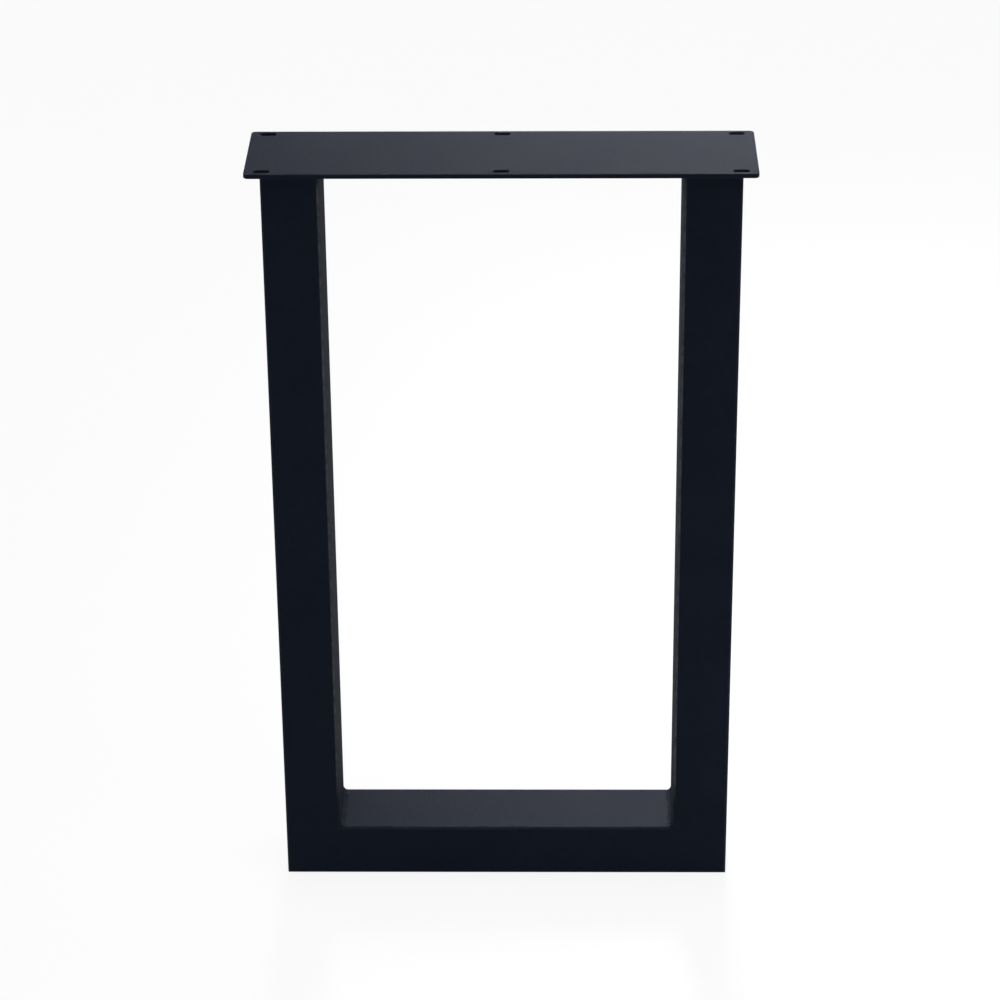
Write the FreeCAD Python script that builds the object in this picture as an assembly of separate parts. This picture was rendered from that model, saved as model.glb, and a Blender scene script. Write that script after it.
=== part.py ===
import FreeCAD, Part
import math
import os

# U-shaped table leg: two uprights and a bottom rail of one rectangular hollow
# section, welded at mitred corners, with a slotted mounting plate across the top.
# X runs across the frame, Y front to back, Z up. The floor is Z = 0. Sizes in mm.

# Frame
HEIGHT = 710.0            # floor to the top of the plate
FRAME_WIDTH = 410.0       # over the outer faces of the uprights

# Hollow section
TUBE_FACE = 50.0          # side seen from the front
TUBE_DEPTH = 70.0         # side seen from the end of the table
TUBE_WALL = 2.0
TUBE_BEND = 1.0           # radius inside the section's bent corners

# Mounting plate
PLATE_THICK = 4.0
PLATE_END_LEDGE = 12.5    # plate past the outer face of each upright
PLATE_SIDE_LEDGE = 15.0   # plate past the front and back faces of the uprights
PLATE_CORNER = 4.0        # corner radius seen from above
PLATE_EDGE = 0.6          # rounding of the plate's long edges and ends

# Screw slots
SLOT_LENGTH = 14.5        # end to end
SLOT_WIDTH = 6.0
SLOT_END_INSET = 15.0     # slot centre to the end of the plate
SLOT_SIDE_INSET = 7.0     # slot centre to the long edge of the plate
SLOTS_PER_ROW = 3

# Welded corners and beads
CORNER_GRIND = 1.5        # radius left where the outer bottom corners are ground
CORNER_BEAD = 5.0         # leg of the bead in each inner bottom corner
PLATE_BEAD = 3.0          # leg of the bead under the plate
BEAD_HOLLOW = 1.25        # bead's hollow radius for each mm of its leg

# Places and fits that follow from the sizes above
TUBE_CORNER = TUBE_BEND + TUBE_WALL
UPRIGHT_TOP = HEIGHT - PLATE_THICK
UPRIGHT_X = (FRAME_WIDTH - TUBE_FACE) / 2
PLATE_LENGTH = FRAME_WIDTH + 2 * PLATE_END_LEDGE
PLATE_WIDTH = TUBE_DEPTH + 2 * PLATE_SIDE_LEDGE
SLOT_ROW_Y = PLATE_WIDTH / 2 - SLOT_SIDE_INSET
SLOT_STEP = (PLATE_LENGTH - 2 * SLOT_END_INSET) / (SLOTS_PER_ROW - 1)
CORNER_BEAD_RUN = TUBE_DEPTH - 2 * TUBE_CORNER

UP = FreeCAD.Vector(0, 0, 1)
ORIGIN = FreeCAD.Vector(0, 0, 0)


def rounded_rectangle(width, depth, radius):
    """Closed wire around the origin in the XY plane."""
    x = width / 2
    y = depth / 2
    r = radius
    mid = r * (1 - math.sqrt(0.5))
    points = []
    for sx, sy in ((1, 1), (-1, 1), (-1, -1), (1, -1)):
        on_side = FreeCAD.Vector(sx * x, sy * (y - r), 0)
        on_bend = FreeCAD.Vector(sx * (x - mid), sy * (y - mid), 0)
        on_end = FreeCAD.Vector(sx * (x - r), sy * y, 0)
        corner = [on_side, on_bend, on_end]
        if sx != sy:
            corner.reverse()
        points.append(corner)
    edges = []
    for index, corner in enumerate(points):
        edges.append(Part.Arc(*corner).toShape())
        start = points[(index + 1) % 4][0]
        if corner[2].distanceToPoint(start) > 1e-6:
            edges.append(Part.makeLine(corner[2], start))
    return Part.Wire(edges)


def prism(wire, length):
    return Part.Face(wire).extrude(UP * length)


def hollow_section(width, depth, length):
    """Tube standing on the origin, with the section's bent corners."""
    outer = prism(rounded_rectangle(width, depth, TUBE_CORNER), length)
    bore = prism(
        rounded_rectangle(width - 2 * TUBE_WALL, depth - 2 * TUBE_WALL, TUBE_BEND), length
    )
    return outer.cut(bore)


def wedge(points):
    """Triangle in the XZ plane, run through the frame's whole depth."""
    front = -TUBE_DEPTH
    corners = [FreeCAD.Vector(x, front, z) for x, z in points]
    outline = Part.makePolygon(corners + corners[:1])
    return Part.Face(outline).extrude(FreeCAD.Vector(0, -2 * front, 0))


def below_mitre(side):
    """Everything under the mitre of the left (-1) or right (1) bottom corner."""
    low = side * (FRAME_WIDTH / 2 + TUBE_FACE)
    high = side * (FRAME_WIDTH / 2 - 2 * TUBE_FACE)
    return wedge([(low, -TUBE_FACE), (high, -TUBE_FACE), (high, 2 * TUBE_FACE)])


def above_mitre(side):
    low = side * (FRAME_WIDTH / 2 + TUBE_FACE)
    high = side * (FRAME_WIDTH / 2 - 2 * TUBE_FACE)
    return wedge([(low, -TUBE_FACE), (low, 2 * TUBE_FACE), (high, 2 * TUBE_FACE)])


def ground_off(side):
    """What grinding takes from the sharp outer edge of a bottom corner."""
    spare = CORNER_GRIND
    mid = CORNER_GRIND * (1 - math.sqrt(0.5))
    profile = [
        (CORNER_GRIND, 0),
        (mid, mid),
        (0, CORNER_GRIND),
        (-spare, CORNER_GRIND),
        (-spare, -spare),
        (CORNER_GRIND, -spare),
    ]
    outer_x = side * FRAME_WIDTH / 2
    points = [FreeCAD.Vector(outer_x - side * x, -TUBE_DEPTH, z) for x, z in profile]
    edges = [Part.Arc(*points[:3]).toShape()]
    for start, end in zip(points[2:], points[3:] + points[:1]):
        edges.append(Part.makeLine(start, end))
    return Part.Face(Part.Wire(edges)).extrude(FreeCAD.Vector(0, 2 * TUBE_DEPTH, 0))


def make_upright(side):
    tube = hollow_section(TUBE_FACE, TUBE_DEPTH, UPRIGHT_TOP)
    tube.translate(FreeCAD.Vector(side * UPRIGHT_X, 0, 0))
    return tube.cut(below_mitre(side)).cut(ground_off(side))


def make_rail():
    tube = hollow_section(TUBE_FACE, TUBE_DEPTH, FRAME_WIDTH)
    tube.rotate(ORIGIN, FreeCAD.Vector(0, 1, 0), 90)
    tube.translate(FreeCAD.Vector(-FRAME_WIDTH / 2, 0, TUBE_FACE / 2))
    for side in (-1, 1):
        tube = tube.cut(above_mitre(side)).cut(ground_off(side))
    return tube


def make_plate():
    outline = rounded_rectangle(PLATE_LENGTH, PLATE_WIDTH, PLATE_CORNER)
    plate = prism(outline, PLATE_THICK)
    rims = [edge for edge in plate.Edges if edge.BoundBox.ZLength < PLATE_THICK / 2]
    plate = plate.makeFillet(PLATE_EDGE, rims)
    slot = prism(rounded_rectangle(SLOT_LENGTH, SLOT_WIDTH, SLOT_WIDTH / 2), PLATE_THICK)
    for row in (-1, 1):
        for column in range(SLOTS_PER_ROW):
            x = (column - (SLOTS_PER_ROW - 1) / 2) * SLOT_STEP
            plate = plate.cut(slot.translated(FreeCAD.Vector(x, row * SLOT_ROW_Y, 0)))
    plate.translate(UP * UPRIGHT_TOP)
    return plate


def bead_section(leg, corner, along, upward):
    """Hollow-faced fillet weld in a right-angled corner, with a leg on each face."""
    foot = corner + along * leg
    toe = corner + upward * leg
    hollow = leg * BEAD_HOLLOW
    half_chord = leg * math.sqrt(0.5)
    sag = hollow - math.sqrt(hollow ** 2 - half_chord ** 2)
    inward = (along + upward) * math.sqrt(0.5)
    middle = (foot + toe) * 0.5 - inward * sag
    edges = [
        Part.makeLine(corner, foot),
        Part.Arc(foot, middle, toe).toShape(),
        Part.makeLine(toe, corner),
    ]
    return Part.Wire(edges)


def make_corner_weld(side):
    """Bead along the inner bottom corner, over the flat of both tubes."""
    inner_x = side * (FRAME_WIDTH / 2 - TUBE_FACE)
    corner = FreeCAD.Vector(inner_x, -CORNER_BEAD_RUN / 2, TUBE_FACE)
    section = bead_section(CORNER_BEAD, corner, FreeCAD.Vector(-side, 0, 0), UP)
    return Part.Face(section).extrude(FreeCAD.Vector(0, CORNER_BEAD_RUN, 0))


def make_plate_weld(side):
    """Bead all round the top of an upright, against the plate's underside."""
    path = rounded_rectangle(TUBE_FACE, TUBE_DEPTH, TUBE_CORNER)
    corner = FreeCAD.Vector(TUBE_FACE / 2, TUBE_DEPTH / 2 - TUBE_CORNER, 0)
    section = bead_section(PLATE_BEAD, corner, FreeCAD.Vector(1, 0, 0), -UP)
    bead = path.makePipeShell([section], True, True)
    bead.translate(FreeCAD.Vector(side * UPRIGHT_X, 0, UPRIGHT_TOP))
    return bead


os.makedirs("parts", exist_ok=True)

pieces = {"bottom_rail": make_rail(), "top_plate": make_plate()}
for name, side in (("left", -1), ("right", 1)):
    pieces[name + "_upright"] = make_upright(side)
    pieces[name + "_corner_weld"] = make_corner_weld(side)
    pieces[name + "_plate_weld"] = make_plate_weld(side)

for node, shape in pieces.items():
    shape.exportStep("parts/" + node + ".step")
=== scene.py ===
import math

import bpy
from mathutils import Matrix, Vector


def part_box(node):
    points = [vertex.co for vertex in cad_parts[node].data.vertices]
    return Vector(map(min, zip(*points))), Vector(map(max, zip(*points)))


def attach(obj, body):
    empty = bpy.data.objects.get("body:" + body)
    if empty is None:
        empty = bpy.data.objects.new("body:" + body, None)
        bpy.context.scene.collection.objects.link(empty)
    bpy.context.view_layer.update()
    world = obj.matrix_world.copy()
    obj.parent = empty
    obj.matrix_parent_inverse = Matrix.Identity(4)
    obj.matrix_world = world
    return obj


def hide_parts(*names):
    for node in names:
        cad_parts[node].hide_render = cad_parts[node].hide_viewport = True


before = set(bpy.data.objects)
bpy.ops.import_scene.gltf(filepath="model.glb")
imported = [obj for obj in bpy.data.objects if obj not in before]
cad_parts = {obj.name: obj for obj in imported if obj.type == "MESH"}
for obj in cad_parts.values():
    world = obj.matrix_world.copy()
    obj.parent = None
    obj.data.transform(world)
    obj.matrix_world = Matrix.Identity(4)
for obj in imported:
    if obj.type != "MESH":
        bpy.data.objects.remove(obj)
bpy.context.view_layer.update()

# The photograph's camera: place in metres, angles in degrees, lens and sensor in millimetres
CAMERA_PLACE = Vector((0.0443, -2.7847, 1.8153))
CAMERA_PITCH = 27.329           # below the horizon
CAMERA_TURN = 0.9915            # to the left of straight ahead
CAMERA_ROLL = 0.4755
CAMERA_LENS = 125.76
SENSOR = 36.0

# Sizes of the frame that the weld beads and the coat follow, in metres like all lengths below
RAIL_LOW, RAIL_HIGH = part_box("bottom_rail")
TUBE_FACE = RAIL_HIGH.z
TUBE_DEPTH = RAIL_HIGH.y - RAIL_LOW.y
TUBE_CORNER = 0.003             # outside radius of the section's bends
HALF_FRAME = -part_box("left_upright")[0].x
UPRIGHT_X = HALF_FRAME - TUBE_FACE / 2
INNER_X = HALF_FRAME - TUBE_FACE
PLATE_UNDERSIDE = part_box("top_plate")[0].z

# Weld beads
CORNER_BEAD = 0.005             # leg of the bead in each inner bottom corner
PLATE_BEAD = 0.003              # leg of the bead under the plate
BEAD_HOLLOW = 1.25              # radius of the hollow face, for each metre of leg
BEAD_STEP = 0.0004              # from one section of a bead to the next
BEAD_FACETS = 12                # across the hollow face
BEAD_SINK = 0.00012             # into the pieces that the bead joins
BEAD_END = 0.0022               # run of a corner bead round the tubes' bends
BEAD_TIP = 0.02                 # least square of the taper at that end
BEAD_WANDER = 0.13              # share of the leg by which it varies along the bead
WANDER_LENGTHS = (0.0165, 0.0071)
RIPPLE_PITCH = 0.0023
RIPPLE_BOW = 0.0016             # lead of a ripple's middle over its ends
RIPPLE_HEIGHT = 0.00022         # on a bead with the corner bead's leg

# Powder coat
COAT_DARK = (0.0037, 0.0061, 0.0124, 1)
COAT_PALE = (0.0052, 0.0086, 0.0174, 1)
# Pale colour painted on the bends as a highlight, in place of light caught there
COAT_PAINTED_SHEEN = (0.056, 0.062, 0.07, 1)
COAT_SPECULAR = 0.066
COAT_ROUGHNESS = (0.775, 0.805)
COAT_RELIEF = 0.00016
GRAIN_SIZE = 0.0007
GRAIN_SHARE = 0.4               # of the grain in the colour
CLOUD_SIZE = 0.055
CLOUD_SHARE = 0.6               # of the clouding in the colour
PEEL_SIZE = 0.0021
PEEL_SHARE = 0.5                # of the orange peel in the relief, beside the whole grain
SEAM_WIDTH = 0.0022             # to each side of the mitre
SEAM_DEPTH = 1.0                # share of the relief
NOISE_ROUGHNESS = 0.55
NOISE_SPAN = (0.35, 0.65)       # holds nearly all values of a noise

# Where a painted highlight makes the coat's bends paler, and where the coat went on rough
BEND_SPAN = (0.99, 0.74)        # largest part of the normal, on a flat face and on a bend
SHEEN_PATCH_SIZE = 0.009
SHEEN_LEAST = 0.5                 # share of the painted highlight between its strongest patches
SHEEN_ELSEWHERE = 0.2             # share of the painted highlight away from the uprights' inner edges
SHEEN_TURN = (0.2, 0.42)          # product of the normal's parts, where the painted highlight starts and is full
SHEEN_FADE_LOW = (0.025, 0.055)   # above the rail, where the painted highlight starts and is full
SHEEN_FADE_HIGH = (0.005, 0.015)  # below the plate
DULL_ROUGHNESS = 0.2            # added to the coat's where it is roughest
DULL_FADE = (0.02, 0.045)       # above the rail, where it stops being roughest and where it evens out
DULL_HIGHER = 0.55              # share of the added roughness from there up

# Studio
FLOOR_SIZE = 40.0
FLOOR_DROP = 0.0003             # keeps the floor clear of the rail's underside
FLOOR_COLOUR = (0.88, 0.88, 0.88, 1)
FLOOR_GLOW = 0.87               # share of plain white where the floor is seen directly
ROOM_LIGHT = 0.5
WHITE = (1, 1, 1)
COOL_WHITE = (0.97, 0.985, 1.08)


def link(tree, source, target):
    tree.links.new(source, target)


def add_node(tree, kind, inputs=None, **settings):
    node = tree.nodes.new(kind)
    for name, value in settings.items():
        setattr(node, name, value)
    for name, value in (inputs or {}).items():
        if isinstance(value, bpy.types.NodeSocket):
            link(tree, value, node.inputs[name])
        else:
            node.inputs[name].default_value = value
    return node


def math_node(tree, operation, first, second=None):
    inputs = {0: first}
    if second is not None:
        inputs[1] = second
    return add_node(tree, "ShaderNodeMath", inputs, operation=operation).outputs[0]


def product(tree, first, second):
    return math_node(tree, "MULTIPLY", first, second)


def scaled(tree, value, low, high, to_low, to_high):
    inputs = {"Value": value, "From Min": low, "From Max": high, "To Min": to_low, "To Max": to_high}
    return add_node(tree, "ShaderNodeMapRange", inputs).outputs["Result"]


def parts_of(tree, vector):
    return add_node(tree, "ShaderNodeSeparateXYZ", {"Vector": vector}).outputs


def noise(tree, place, size, detail):
    inputs = {"Vector": place, "Scale": 1 / size, "Detail": detail, "Roughness": NOISE_ROUGHNESS}
    return add_node(tree, "ShaderNodeTexNoise", inputs).outputs["Fac"]


def add_object(name, data):
    thing = bpy.data.objects.new(name, data)
    bpy.context.scene.collection.objects.link(thing)
    return thing


def make_camera():
    data = bpy.data.cameras.new("camera")
    data.sensor_width = SENSOR
    data.lens = CAMERA_LENS
    camera = add_object("camera", data)
    turn = Matrix.Rotation(math.radians(CAMERA_TURN), 4, "Z")
    tilt = Matrix.Rotation(math.radians(90 - CAMERA_PITCH), 4, "X")
    roll = Matrix.Rotation(math.radians(-CAMERA_ROLL), 4, "Z")
    camera.matrix_world = Matrix.Translation(CAMERA_PLACE) @ turn @ tilt @ roll
    bpy.context.scene.camera = camera


def facing_inward(tree, spot, facing):
    """1 on the uprights' inner faces, falling to 0 round their bends and on all other faces."""
    return scaled(tree, product(tree, spot["X"], facing["X"]), 0, -INNER_X, 0, 1)


def bend_mask(tree, facing):
    """0 on flat faces, rising to 1 on bends, rims and beads, where a face looks two ways at once."""
    sizes = [math_node(tree, "ABSOLUTE", facing[axis]) for axis in "XYZ"]
    largest = math_node(tree, "MAXIMUM", math_node(tree, "MAXIMUM", sizes[0], sizes[1]), sizes[2])
    return scaled(tree, largest, *BEND_SPAN, 0, 1)


def inner_edge_mask(tree, spot, facing, inward):
    """Up to 1 on the bends along the uprights' inner edges, where the painted highlight is full, fading
    out before the rail and the plate.
    """
    turned = product(tree, inward, math_node(tree, "ABSOLUTE", facing["Y"]))
    edge = scaled(tree, turned, *SHEEN_TURN, 0, 1)
    low = [TUBE_FACE + rise for rise in SHEEN_FADE_LOW]
    high = [PLATE_UNDERSIDE - drop for drop in SHEEN_FADE_HIGH]
    above_rail = scaled(tree, spot["Z"], *low, 0, 1)
    below_plate = scaled(tree, spot["Z"], *high, 0, 1)
    return product(tree, edge, product(tree, above_rail, below_plate))


def coat_colour(tree, place, grain, cloud, sheen_mask):
    """Grain and faint clouds, mixed in uneven patches with the pale colour of a painted highlight on the
    bends.
    """
    clouds = product(tree, cloud, CLOUD_SHARE)
    tone = math_node(tree, "ADD", clouds, product(tree, grain, GRAIN_SHARE))
    ramp = add_node(tree, "ShaderNodeValToRGB", {"Fac": tone})
    stops = zip(ramp.color_ramp.elements, NOISE_SPAN, (COAT_DARK, COAT_PALE))
    for stop, position, colour in stops:
        stop.position = position
        stop.color = colour
    patches = scaled(tree, noise(tree, place, SHEEN_PATCH_SIZE, detail=3), *NOISE_SPAN, SHEEN_LEAST, 1)
    mix = add_node(tree, "ShaderNodeMix", data_type="RGBA")
    factor, plain, sheen_colour = mix.inputs[0], mix.inputs[6], mix.inputs[7]
    link(tree, product(tree, patches, sheen_mask), factor)
    link(tree, ramp.outputs["Color"], plain)
    sheen_colour.default_value = COAT_PAINTED_SHEEN
    return mix.outputs[2]


def coat_roughness(tree, spot, cloud, inward):
    """Clouded, and rougher inside the U, most of all in its corners, where powder goes on thin."""
    rough = scaled(tree, cloud, *NOISE_SPAN, *COAT_ROUGHNESS)
    reach = [TUBE_FACE + rise for rise in DULL_FADE]
    share = scaled(tree, spot["Z"], *reach, 1, DULL_HIGHER)
    dull = product(tree, product(tree, inward, share), DULL_ROUGHNESS)
    return math_node(tree, "ADD", rough, dull)


def seam_height(tree, spot):
    """Faint dip where the ground-flush mitre weld crosses the tubes."""
    across = math_node(tree, "ABSOLUTE", spot["X"])
    from_mitre = math_node(tree, "SUBTRACT", math_node(tree, "ADD", across, spot["Z"]), HALF_FRAME)
    distance = math_node(tree, "ABSOLUTE", from_mitre)
    return scaled(tree, distance, 0, SEAM_WIDTH, -SEAM_DEPTH, 0)


def coat_relief(tree, place, spot, grain):
    """Grain over a soft orange peel, with the mitre seams."""
    peel = noise(tree, place, PEEL_SIZE, detail=2)
    texture = math_node(tree, "ADD", grain, product(tree, peel, PEEL_SHARE))
    height = math_node(tree, "ADD", texture, seam_height(tree, spot))
    inputs = {"Height": height, "Strength": 1.0, "Distance": COAT_RELIEF}
    return add_node(tree, "ShaderNodeBump", inputs).outputs["Normal"]


def make_coat():
    """Matt blue-black powder coat with a fine grain, a pale painted highlight on its bends, and rougher
    inside the U.
    """
    material = bpy.data.materials.new("black_powder_coat")
    material.use_nodes = True
    tree = material.node_tree
    shader = tree.nodes["Principled BSDF"]
    shader.inputs["Specular IOR Level"].default_value = COAT_SPECULAR
    place = add_node(tree, "ShaderNodeTexCoord").outputs["Object"]
    normal = add_node(tree, "ShaderNodeNewGeometry").outputs["Normal"]
    spot = parts_of(tree, place)
    facing = parts_of(tree, normal)
    inward = facing_inward(tree, spot, facing)
    grain = noise(tree, place, GRAIN_SIZE, detail=1)
    cloud = noise(tree, place, CLOUD_SIZE, detail=4)

    # Painted highlight: a pale sheen on every bend at a fifth strength, full on the uprights' inner
    # edges
    elsewhere = product(tree, bend_mask(tree, facing), SHEEN_ELSEWHERE)
    sheen_mask = math_node(tree, "MAXIMUM", inner_edge_mask(tree, spot, facing, inward), elsewhere)
    link(tree, coat_colour(tree, place, grain, cloud, sheen_mask), shader.inputs["Base Color"])
    link(tree, coat_roughness(tree, spot, cloud, inward), shader.inputs["Roughness"])
    link(tree, coat_relief(tree, place, spot, grain), shader.inputs["Normal"])
    return material


def bead_sections(stations, closed):
    """Points of a rippled fillet weld, section by section, from the stations along its corner.

    A station is a point of the corner, the directions of the two legs and their length.
    """
    places = [station[0] for station in stations]
    runs = [(after - before).length for before, after in zip(places, places[1:] + places[:1])]
    total = sum(runs) if closed else sum(runs[:-1])
    wander_turns = [2 * math.pi * round(total / length) / total for length in WANDER_LENGTHS]
    half_chord = math.sqrt(0.5)
    centre = half_chord + math.sqrt(BEAD_HOLLOW ** 2 - half_chord ** 2)
    sweep = math.asin(half_chord / BEAD_HOLLOW)
    points = []
    along = 0.0
    for (corner, first, second, leg), run in zip(stations, runs):
        leg *= 1 + BEAD_WANDER * sum(math.sin(turn * along) for turn in wander_turns) / 2
        outward = (first + second).normalized()
        across = (second - first).normalized()
        points.append(corner - outward * BEAD_SINK)
        for facet in range(BEAD_FACETS + 1):
            t = 2 * facet / BEAD_FACETS - 1
            phase = (along + RIPPLE_BOW * (1 - t * t)) / RIPPLE_PITCH
            ripple = abs(math.sin(math.pi * phase)) - 0.5
            swell = RIPPLE_HEIGHT * ripple * math.sqrt(1 - t ** 4) * leg / CORNER_BEAD
            reach = leg * (centre - BEAD_HOLLOW * math.cos(t * sweep))
            side = leg * BEAD_HOLLOW * math.sin(t * sweep)
            points.append(corner + outward * (reach + swell - BEAD_SINK) + across * side)
        along += run
    return points


def bead_object(name, stations, closed):
    """Weld bead through the stations, joined to its start or capped at both ends."""
    ring = BEAD_FACETS + 2
    count = len(stations)
    faces = []
    for index in range(count if closed else count - 1):
        here = index * ring
        there = (index + 1) % count * ring
        for k in range(ring):
            n = (k + 1) % ring
            faces.append((here + k, here + n, there + n, there + k))
    if not closed:
        faces.append(tuple(reversed(range(ring))))
        faces.append(tuple((count - 1) * ring + k for k in range(ring)))
    mesh = bpy.data.meshes.new(name)
    mesh.from_pydata(bead_sections(stations, closed), [], faces)
    mesh.validate()
    for polygon in mesh.polygons:
        polygon.use_smooth = True
    return add_object(name, mesh)


def make_corner_bead(name, side):
    """Follows the mitre along the flat of both tubes and part of the way round their bends."""
    flat = TUBE_DEPTH / 2 - TUBE_CORNER
    end = flat + BEAD_END
    steps = round(2 * end / BEAD_STEP)
    stations = []
    for index in range(steps + 1):
        y = -end + 2 * end * index / steps
        past = max(0.0, abs(y) - flat)
        drop = TUBE_CORNER - math.sqrt(TUBE_CORNER ** 2 - past ** 2)
        taper = math.sqrt(max(BEAD_TIP, 1 - (past / BEAD_END) ** 2))
        corner = Vector((side * (INNER_X + drop), y, TUBE_FACE - drop))
        stations.append((corner, Vector((-side, 0, 0)), Vector((0, 0, 1)), CORNER_BEAD * taper))
    return bead_object(name, stations, False)


def make_plate_bead(name, side):
    """Runs round the top of an upright, under the plate."""
    half_x = TUBE_FACE / 2 - TUBE_CORNER
    half_y = TUBE_DEPTH / 2 - TUBE_CORNER
    middle = Vector((side * UPRIGHT_X, 0, PLATE_UNDERSIDE))
    bends = [Vector((x * half_x, y * half_y, 0)) for x, y in ((1, 1), (-1, 1), (-1, -1), (1, -1))]
    quarter = math.pi / 2
    bend_steps = round(quarter * TUBE_CORNER / BEAD_STEP)
    down = Vector((0, 0, -1))
    stations = []
    for index, (bend, next_bend) in enumerate(zip(bends, bends[1:] + bends[:1])):
        for step in range(bend_steps):
            angle = (index + step / bend_steps) * quarter
            outward = Vector((math.cos(angle), math.sin(angle), 0))
            stations.append((middle + bend + outward * TUBE_CORNER, outward, down, PLATE_BEAD))
        angle = (index + 1) * quarter
        outward = Vector((math.cos(angle), math.sin(angle), 0))
        start = middle + bend + outward * TUBE_CORNER
        run = next_bend - bend
        run_steps = round(run.length / BEAD_STEP)
        for step in range(run_steps):
            stations.append((start + run * step / run_steps, outward, down, PLATE_BEAD))
    return bead_object(name, stations, True)


def add_beads(coat):
    for name, side in (("left", -1), ("right", 1)):
        corner = make_corner_bead(name + "_corner_bead", side)
        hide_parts(name + "_corner_weld")
        plate = make_plate_bead(name + "_plate_bead", side)
        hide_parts(name + "_plate_weld")
        for bead in (corner, plate):
            bead.data.materials.append(coat)
            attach(bead, "root")


def seen_directly(tree):
    """1 for the rays that show the background itself or its reflection."""
    path = add_node(tree, "ShaderNodeLightPath").outputs
    seen = math_node(tree, "MAXIMUM", path["Is Camera Ray"], path["Is Glossy Ray"])
    return math_node(tree, "MAXIMUM", seen, path["Is Transmission Ray"])


def make_floor():
    half = FLOOR_SIZE / 2
    mesh = bpy.data.meshes.new("floor")
    corners = [(-half, -half), (half, -half), (half, half), (-half, half)]
    mesh.from_pydata([(x, y, -FLOOR_DROP) for x, y in corners], [], [(0, 1, 2, 3)])
    floor = add_object("floor", mesh)
    material = bpy.data.materials.new("floor")
    material.use_nodes = True
    tree = material.node_tree
    tree.nodes.clear()
    output = add_node(tree, "ShaderNodeOutputMaterial")
    diffuse = add_node(tree, "ShaderNodeBsdfDiffuse", {"Color": FLOOR_COLOUR})
    glow = add_node(tree, "ShaderNodeEmission", {"Strength": 1.0})
    share = product(tree, seen_directly(tree), FLOOR_GLOW)
    mix = add_node(tree, "ShaderNodeMixShader", {0: share, 1: diffuse.outputs[0], 2: glow.outputs[0]})
    link(tree, mix.outputs[0], output.inputs["Surface"])
    floor.data.materials.append(material)


def make_world():
    world = bpy.data.worlds.new("studio")
    world.use_nodes = True
    tree = world.node_tree
    background = tree.nodes["Background"]
    background.inputs["Color"].default_value = (*WHITE, 1)
    strength = scaled(tree, seen_directly(tree), 0, 1, ROOM_LIGHT, 1.0)
    link(tree, strength, background.inputs["Strength"])
    bpy.context.scene.world = world


def make_softbox(name, place, target, size, power, spread=180, colour=WHITE):
    """Square lamp: size in metres, power in watts, spread in degrees."""
    data = bpy.data.lights.new(name, "AREA")
    data.shape = "SQUARE"
    data.size = size
    data.energy = power
    data.color = colour
    data.spread = math.radians(spread)
    lamp = add_object(name, data)
    lamp.location = place
    lamp.rotation_mode = "QUATERNION"
    lamp.rotation_quaternion = (Vector(target) - Vector(place)).to_track_quat("-Z", "Y")


coat = make_coat()
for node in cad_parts.values():
    node.data.materials.clear()
    node.data.materials.append(coat)
add_beads(coat)

make_camera()
make_floor()
make_world()
make_softbox("overhead", place=(0.3, 0.3, 4.5), target=(0.3, 0.3, 0), size=4.0, power=92)
make_softbox(
    "back_grid",
    place=(0.2, 2.95, 1.38),
    target=(0.51, 0, 0.14),
    size=0.94,
    power=9.4,
    spread=30.3,
    colour=COOL_WHITE,
)

bpy.context.scene.view_settings.view_transform = "Standard"
